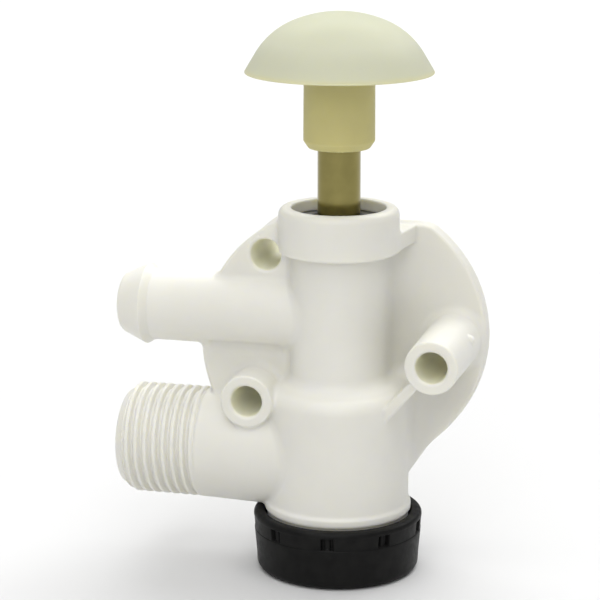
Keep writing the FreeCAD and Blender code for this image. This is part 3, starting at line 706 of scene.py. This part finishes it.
def make_spring():
    """Compression spring with closed ends that are ground flat."""
    low, high = SPRING_LOW[2], SPRING_HIGH[2]
    per_turn, sides = 56, 14
    count = SPRING_TURNS * per_turn
    turns = np.arange(count + 1) / per_turn
    from_end = np.minimum(turns, SPRING_TURNS - turns)
    open_share = smooth((from_end - SPRING_CLOSED_TURNS) / 0.35 + 0.5)
    rise = np.concatenate([[0], np.cumsum((open_share[1:] + open_share[:-1]) / 2 / per_turn)])
    tight = np.concatenate([[0], np.cumsum(1 - (open_share[1:] + open_share[:-1]) / 2) / per_turn])
    ground = 0.6 * SPRING_WIRE_R
    height = high - low - 2 * (SPRING_WIRE_R - ground)
    closed_pitch = 2 * SPRING_WIRE_R * 1.03
    heights = low + SPRING_WIRE_R - ground + closed_pitch * tight
    heights += (height - closed_pitch * tight[-1]) * rise / rise[-1]
    vertices = []
    for turn, z in zip(turns, heights):
        angle = 2 * math.pi * turn
        for k in range(sides):
            around = 2 * math.pi * k / sides
            radius = SPRING_MEAN_R + SPRING_WIRE_R * math.cos(around)
            vertex_z = min(max(z + SPRING_WIRE_R * math.sin(around), low), high)
            vertices.append((radius * math.cos(angle), radius * math.sin(angle), vertex_z))
    faces = [tuple(range(sides))[::-1], tuple(range(count * sides, (count + 1) * sides))]
    for i in range(count):
        for k in range(sides):
            a, b = i * sides + k, i * sides + (k + 1) % sides
            faces.append((a, b, b + sides, a + sides))
    piece = mesh_object("coil_spring", vertices, faces)
    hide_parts("return_spring")
    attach(piece, "closure")
    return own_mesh(piece)


def make_body():
    """The moulded valve body, one piece with its flange, pipes, bosses and collar."""
    piece = field_object("body_moulding", body_field, BODY_LOW - 2 * VOXEL, BODY_HIGH + 2 * VOXEL,
                         VOXEL, BODY_TRIANGLES)
    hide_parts("valve_body")
    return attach(piece, "housing")


# ---------------------------------------------------------------- materials

class Surface:
    """A Principled material under construction, and the procedural nodes that feed it."""

    def __init__(self, name, **constants):
        self.material = bpy.data.materials.new(name)
        self.material.use_nodes = True
        self.nodes = self.material.node_tree.nodes
        self.links = self.material.node_tree.links
        self.shader = self.nodes["Principled BSDF"]
        for socket, value in constants.items():
            self.shader.inputs[socket.replace("_", " ")].default_value = value
        self.place = self.nodes.new("ShaderNodeTexCoord").outputs["Object"]

    def feed(self, socket, value):
        self.links.new(value, self.shader.inputs[socket])

    def noise(self, size_mm, detail=2.0, stretch=(1, 1, 1)):
        """Noise with features of about a size in millimetres."""
        mapping = self.nodes.new("ShaderNodeMapping")
        mapping.inputs["Scale"].default_value = [1 / (size_mm * MM * k) for k in stretch]
        texture = self.nodes.new("ShaderNodeTexNoise")
        texture.inputs["Scale"].default_value = 1.0
        texture.inputs["Detail"].default_value = detail
        self.links.new(self.place, mapping.inputs["Vector"])
        self.links.new(mapping.outputs["Vector"], texture.inputs["Vector"])
        return texture.outputs["Fac"]

    def ranged(self, value, low, high, from_low=0.3, from_high=0.7):
        node = self.nodes.new("ShaderNodeMapRange")
        self.links.new(value, node.inputs["Value"])
        numbers = {"From Min": from_low, "From Max": from_high, "To Min": low, "To Max": high}
        for socket, number in numbers.items():
            node.inputs[socket].default_value = number
        return node.outputs["Result"]

    def blend(self, share, first, second):
        """Colour between two, each a colour or a socket."""
        node = self.nodes.new("ShaderNodeMix")
        node.data_type = "RGBA"
        self.links.new(share, node.inputs["Factor"])
        for name, colour in (("A", first), ("B", second)):
            self.connect_colour(node, name, colour)
        return next(out for out in node.outputs if out.type == "RGBA")

    def connect_colour(self, node, name, colour):
        socket = next(i for i in node.inputs if i.name == name and i.type == "RGBA")
        if isinstance(colour, tuple):
            socket.default_value = (*colour, 1)
        else:
            self.links.new(colour, socket)

    def height(self, low, high):
        """0 at one height and 1 at another, in millimetres up the spindle axis."""
        split = self.nodes.new("ShaderNodeSeparateXYZ")
        self.links.new(self.place, split.inputs["Vector"])
        return self.ranged(split.outputs["Z"], 0, 1, low * MM, high * MM)

    def near_axis(self, x, z, radius):
        """1 within a radius of a line along Y, in millimetres, and 0 outside it."""
        flat = self.nodes.new("ShaderNodeVectorMath")
        flat.operation = "MULTIPLY"
        flat.inputs[1].default_value = (1, 0, 1)
        self.links.new(self.place, flat.inputs[0])
        distance = self.nodes.new("ShaderNodeVectorMath")
        distance.operation = "DISTANCE"
        distance.inputs[1].default_value = (x * MM, 0, z * MM)
        self.links.new(flat.outputs["Vector"], distance.inputs[0])
        return self.ranged(distance.outputs["Value"], 1, 0, radius * MM, (radius + 0.2) * MM)

    def bump(self, value, depth_mm, strength=1.0):
        node = self.nodes.new("ShaderNodeBump")
        node.inputs["Distance"].default_value = depth_mm * MM
        node.inputs["Strength"].default_value = strength
        self.links.new(value, node.inputs["Height"])
        previous = self.shader.inputs["Normal"]
        if previous.is_linked:
            self.links.new(previous.links[0].from_socket, node.inputs["Normal"])
        self.links.new(node.outputs["Normal"], previous)


def white_nylon():
    """Moulded nylon: warm white, satin, with faint flow marks and the grain of the tool. Down in the
    screw holes the colour is painted lighter and yellower, a painted glow for light through the walls."""
    surface = Surface("white_nylon", Subsurface_Weight=0.6, Subsurface_Radius=(1.0, 0.95, 0.6),
                      Subsurface_Scale=0.0016, IOR=1.5)
    clean, aged = (0.79, 0.78, 0.725), (0.76, 0.75, 0.69)
    colour = surface.blend(surface.ranged(surface.noise(14, 3), 0, 1), clean, aged)
    # Painted light: inside each screw hole the colour is lighter and yellower, standing in for light that
    # comes through the walls.
    for centre_x, centre_z, _ in HOLES:
        colour = surface.blend(surface.near_axis(centre_x, centre_z, HOLE_R), colour, (0.90, 0.89, 0.74))
    surface.feed("Base Color", colour)
    surface.feed("Roughness", surface.ranged(surface.noise(3.5, 4), 0.40, 0.52))
    surface.bump(surface.noise(5.0, 1.0), 0.015)
    surface.bump(surface.noise(0.45, 2.0), 0.005)
    return surface.material


def ivory_nylon():
    """Unfilled nylon: ivory and translucent, deeper in colour on the thick hub. Its crown has a painted
    shade.
    """
    surface = Surface("ivory_nylon", Subsurface_Weight=0.6, Subsurface_Radius=(1.0, 0.9, 0.5),
                      Subsurface_Scale=0.004, IOR=1.5, Specular_IOR_Level=0.18)
    dome = surface.blend(surface.ranged(surface.noise(12, 2), 0, 1), (0.56, 0.57, 0.45), (0.54, 0.55, 0.43))
    # Painted shade: the crown is darker than the rest of the dome to tone down the light from above.
    dome = surface.blend(surface.height(100.5, 105.5), dome, (0.46, 0.47, 0.34))
    hub = surface.blend(surface.ranged(surface.noise(6, 2), 0, 1), (0.60, 0.55, 0.25), (0.57, 0.52, 0.24))
    surface.feed("Base Color", surface.blend(surface.height(93.6, 95.6), hub, dome))
    surface.feed("Roughness", surface.ranged(surface.noise(4, 1), 0.50, 0.58))
    surface.bump(surface.noise(0.5, 1.0), 0.003)
    return surface.material


def black_polypropylene():
    """Black plastic with a fine spark-eroded texture, scuffed a little paler here and there."""
    surface = Surface("black_polypropylene", IOR=1.49, Specular_IOR_Level=0.12)
    fresh, scuffed = (0.005, 0.005, 0.005), (0.010, 0.010, 0.0095)
    surface.feed("Base Color", surface.blend(surface.ranged(surface.noise(2.5, 4), 0, 1), fresh, scuffed))
    surface.feed("Roughness", surface.ranged(surface.noise(1.2, 4), 0.38, 0.52))
    surface.bump(surface.noise(0.3, 2.0), 0.012)
    return surface.material


def turned_metal(name, bright, dull, rough_low, rough_high, ring_mm):
    """Metal with turning marks round the Z axis."""
    surface = Surface(name, Metallic=1.0)
    marks = surface.noise(ring_mm, 3.0, stretch=(60, 60, 1))
    surface.feed("Base Color", surface.blend(surface.ranged(surface.noise(3, 3), 0, 1), bright, dull))
    surface.feed("Roughness", surface.ranged(marks, rough_low, rough_high))
    surface.bump(marks, 0.0015)
    return surface.material


def rubber():
    surface = Surface("seal_rubber", IOR=1.5)
    dark, worn = (0.012, 0.012, 0.013), (0.03, 0.03, 0.03)
    surface.feed("Base Color", surface.blend(surface.noise(1.0, 3), dark, worn))
    surface.feed("Roughness", surface.ranged(surface.noise(0.8, 3), 0.5, 0.7))
    surface.bump(surface.noise(0.25, 2.0), 0.008)
    return surface.material


def acetal():
    surface = Surface("acetal", Subsurface_Weight=0.1, Subsurface_Radius=(1.0, 0.9, 0.8),
                      Subsurface_Scale=0.001)
    surface.feed("Base Color", surface.blend(surface.noise(4, 2), (0.76, 0.76, 0.72), (0.70, 0.70, 0.67)))
    surface.feed("Roughness", surface.ranged(surface.noise(0.2, 2, stretch=(40, 40, 1)), 0.32, 0.48))
    return surface.material


MATERIALS = {
    "white_nylon": white_nylon(),
    "ivory_nylon": ivory_nylon(),
    "black_polypropylene": black_polypropylene(),
    "polished_brass": turned_metal("polished_brass", (0.27, 0.235, 0.085), (0.24, 0.21, 0.075),
                                   0.12, 0.20, 0.10),
    "stainless_steel": turned_metal("stainless_steel", (0.60, 0.60, 0.59), (0.42, 0.42, 0.42),
                                    0.25, 0.45, 0.2),
    "spring_steel": turned_metal("spring_steel", (0.46, 0.46, 0.47), (0.32, 0.32, 0.33),
                                 0.28, 0.42, 0.3),
    "seal_rubber": rubber(),
    "acetal": acetal(),
}


def finish_material(piece, slot):
    piece.data.materials.clear()
    piece.data.materials.append(MATERIALS[slot])


def dress_cad_nodes():
    """Every CAD node that still shows gets the procedural material of its record slot."""
    for subpart in frame["record"]["subparts"]:
        node = frame["nodes"].get(subpart["node"])
        if node is not None:
            finish_material(node, subpart["material_slot"])


# ---------------------------------------------------------------- stage

# Metres and degrees, as Blender takes them
OBJECT_MIDDLE = (-0.01, 0.0, 0.045)
FLOOR_HALF = 3.0
FLOOR_DROP = 0.0001
WORLD_STRENGTH = 0.22
CAMERA_PLACE = (0.10117, -0.40543, 0.1520)
CAMERA_TILT = 76.53
CAMERA_TURN = 15.0
CAMERA_LENS_MM = 138.0


def make_floor():
    """Plain pale floor. It goes down with the cap, so that an unscrewed cap still stands on it."""
    half, depth = FLOOR_HALF, FLOOR_DROP
    mesh = bpy.data.meshes.new("floor")
    mesh.from_pydata([(-half, -half, -depth), (half, -half, -depth), (half, half, -depth),
                      (-half, half, -depth)], [], [(0, 1, 2, 3)])
    floor = bpy.data.objects.new("floor", mesh)
    bpy.context.scene.collection.objects.link(floor)
    surface = Surface("floor_paint", Roughness=0.9)
    surface.feed("Base Color", surface.blend(surface.noise(400, 1), (0.70, 0.70, 0.70), (0.68, 0.68, 0.68)))
    floor.data.materials.append(surface.material)
    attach(floor, "closure")


def area_light(name, place, target, size, power):
    """White rectangular light at a place, aimed at a target."""
    light = bpy.data.lights.new(name, "AREA")
    light.shape = "RECTANGLE"
    light.size, light.size_y = size
    light.energy = power
    light.color = (1, 1, 1)
    lamp = bpy.data.objects.new(name, light)
    lamp.location = place
    lamp.rotation_euler = (Vector(target) - Vector(place)).to_track_quat("-Z", "Y").to_euler()
    bpy.context.scene.collection.objects.link(lamp)


def make_stage():
    """Floor, faint white world, three softboxes and the camera."""
    make_floor()
    world = bpy.data.worlds.new("studio")
    world.use_nodes = True
    background = world.node_tree.nodes["Background"]
    background.inputs["Color"].default_value = (1.0, 1.0, 1.0, 1)
    background.inputs["Strength"].default_value = WORLD_STRENGTH
    bpy.context.scene.world = world
    area_light("softbox_top", (0.02, -0.22, 1.05), OBJECT_MIDDLE, (1.2, 0.9), 7.8)
    area_light("softbox_front", (0.10, -0.90, 0.60), OBJECT_MIDDLE, (0.8, 0.6), 4.0)
    area_light("softbox_back", (0.0, 1.4, 1.40), (0.0, 1.3, 0.0), (2.6, 1.6), 46.0)
    camera = bpy.data.cameras.new("camera")
    camera.lens, camera.sensor_width = CAMERA_LENS_MM, 36.0
    view = bpy.data.objects.new("camera", camera)
    view.location = CAMERA_PLACE
    view.rotation_euler = (math.radians(CAMERA_TILT), 0, math.radians(CAMERA_TURN))
    bpy.context.scene.collection.objects.link(view)
    bpy.context.scene.camera = view
    bpy.context.scene.view_settings.view_transform = "Standard"


finish_material(make_body(), "white_nylon")
finish_material(make_push_button(), "ivory_nylon")
finish_material(make_end_cap(), "black_polypropylene")
finish_material(make_spring(), "spring_steel")
dress_cad_nodes()
make_stage()
